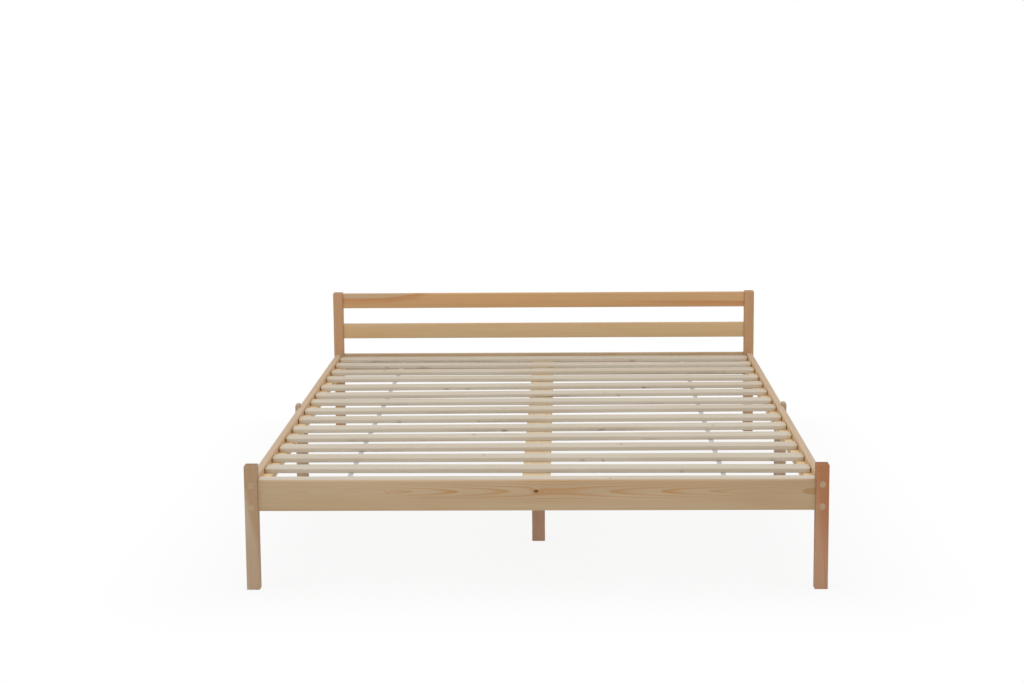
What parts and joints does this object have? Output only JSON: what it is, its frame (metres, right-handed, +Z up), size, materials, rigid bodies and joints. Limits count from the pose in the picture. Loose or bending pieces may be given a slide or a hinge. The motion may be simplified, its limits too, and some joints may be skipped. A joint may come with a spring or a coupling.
{
  "type": "bed frame",
  "caption": "Low solid pine bed frame with an open rail headboard, square posts, a support beam on legs and a slat roll that lifts out.",
  "frame": {"origin": "centre of the footprint, on the floor", "axes": "+X to the right as seen from the foot end, +Y from the foot end to the head end, +Z up"},
  "size_m": [1.468, 2.06, 0.493],
  "materials": {
    "pine": "planed and lightly oiled",
    "pine_heartwood": "planed and lightly oiled",
    "pine_red": "planed and lightly oiled",
    "pale_pine": "sawn and planed, untreated",
    "plug_wood": "sanded flush",
    "tape": "woven webbing",
    "staple_wire": "galvanised",
    "zinc_steel": "zinc plated",
    "yellow_zinc_steel": "yellow zinc plated"
  },
  "bodies": {
    "frame": {"foot_post_left": "pine", "foot_post_right": "pine", "head_post_left": "pine", "head_post_right": "pine", "mid_post_left": "pine", "mid_post_right": "pine", "foot_rail": "pine", "head_low_rail": "pine", "head_middle_rail": "pine", "head_top_rail": "pine_heartwood", "side_rail_left_front": "pine", "side_rail_left_rear": "pine", "side_rail_right_front": "pine", "side_rail_right_rear": "pine", "ledger_left_front": "pine", "ledger_left_rear": "pine", "ledger_right_front": "pine", "ledger_right_rear": "pine", "beam_front": "pine", "beam_rear": "pine", "beam_splice": "pine", "beam_cleat_foot": "pine", "beam_cleat_head": "pine", "centre_leg_front": "pine_red", "centre_leg_rear": "pine_red", "joining_plate_left": "zinc_steel", "joining_plate_right": "zinc_steel", "corner_bolts": "zinc_steel", "barrel_nuts": "zinc_steel", "bolt_plugs": "plug_wood", "rail_dowels": "plug_wood", "ledger_screws": "yellow_zinc_steel", "cleat_screws": "yellow_zinc_steel", "beam_screws": "yellow_zinc_steel", "splice_screws": "yellow_zinc_steel", "leg_screws": "yellow_zinc_steel", "mid_post_screws": "yellow_zinc_steel", "plate_screws": "zinc_steel"},
    "slat_roll": {"slat_01": "pale_pine", "slat_02": "pale_pine", "slat_03": "pale_pine", "slat_04": "pale_pine", "slat_05": "pale_pine", "slat_06": "pale_pine", "slat_07": "pale_pine", "slat_08": "pale_pine", "slat_09": "pale_pine", "slat_10": "pale_pine", "slat_11": "pale_pine", "slat_12": "pale_pine", "slat_13": "pale_pine", "slat_14": "pale_pine", "slat_15": "pale_pine", "tape_left": "tape", "tape_right": "tape", "tape_staples": "staple_wire"}
  },
  "joints": [
    {"name": "slat_roll_lift", "type": "slide", "parent": "frame", "child": "slat_roll", "axis": [0, 0, 1], "range_m": [0, 0.25]}
  ]
}
